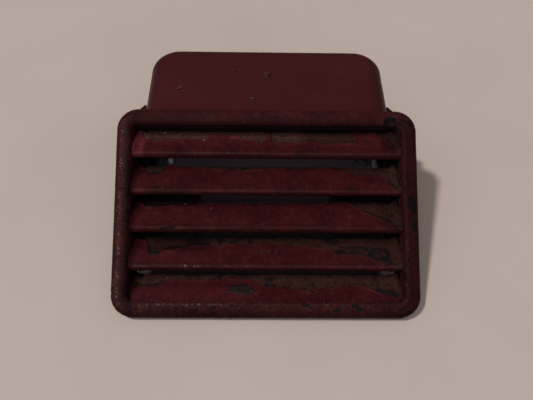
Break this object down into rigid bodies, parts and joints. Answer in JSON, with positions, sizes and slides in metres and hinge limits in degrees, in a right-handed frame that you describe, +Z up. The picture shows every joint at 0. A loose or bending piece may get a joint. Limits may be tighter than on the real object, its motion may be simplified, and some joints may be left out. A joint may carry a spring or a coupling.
{
  "type": "cowl vent",
  "caption": "Low wedge-shaped cowl vent: slanted bead-edged face with fixed louvres, smooth flat-topped hood behind it and a base plate with a duct opening.",
  "frame": {"origin": "middle of the base plane: on the centre line, halfway between the front edge of the face and the rear rivets' heads, which is the middle of the bottom of the bounding box", "axes": "+Z up from the deck, -Y the way the louvred face looks (the face also slopes up, 27 degrees from the deck), +Y towards the hood, +X to the right seen from the louvres"},
  "size_m": [0.1524, 0.1446, 0.0513],
  "materials": {
    "worn_paint": "thick maroon enamel, semi-gloss, pebbled and flaking to a brown patina",
    "hood_paint": "smooth maroon enamel, semi-gloss, a few small chips",
    "plate_steel": "dull zinc-grey sheet",
    "gasket_rubber": "aged matt black rubber",
    "fastener_steel": "dull plated steel",
    "rivet_alloy": "dull blind rivet alloy"
  },
  "bodies": {
    "root": {"face_frame": "worn_paint", "louver_1": "worn_paint", "louver_2": "worn_paint", "louver_3": "worn_paint", "louver_4": "worn_paint", "louver_5": "worn_paint", "hood_shell": "hood_paint", "base_plate": "plate_steel", "gasket_left": "gasket_rubber", "gasket_right": "gasket_rubber", "hood_screw_left_low": "fastener_steel", "hood_screw_left_mid": "fastener_steel", "hood_screw_left_high": "fastener_steel", "hood_screw_right_low": "fastener_steel", "hood_screw_right_mid": "fastener_steel", "hood_screw_right_high": "fastener_steel", "base_rivet_left_front": "rivet_alloy", "base_rivet_left_rear": "rivet_alloy", "base_rivet_right_front": "rivet_alloy", "base_rivet_right_rear": "rivet_alloy", "base_rivet_back_left": "rivet_alloy", "base_rivet_back_right": "rivet_alloy", "captive_nut_1": "fastener_steel", "captive_nut_2": "fastener_steel", "captive_nut_3": "fastener_steel", "captive_nut_4": "fastener_steel"}
  },
  "joints": []
}
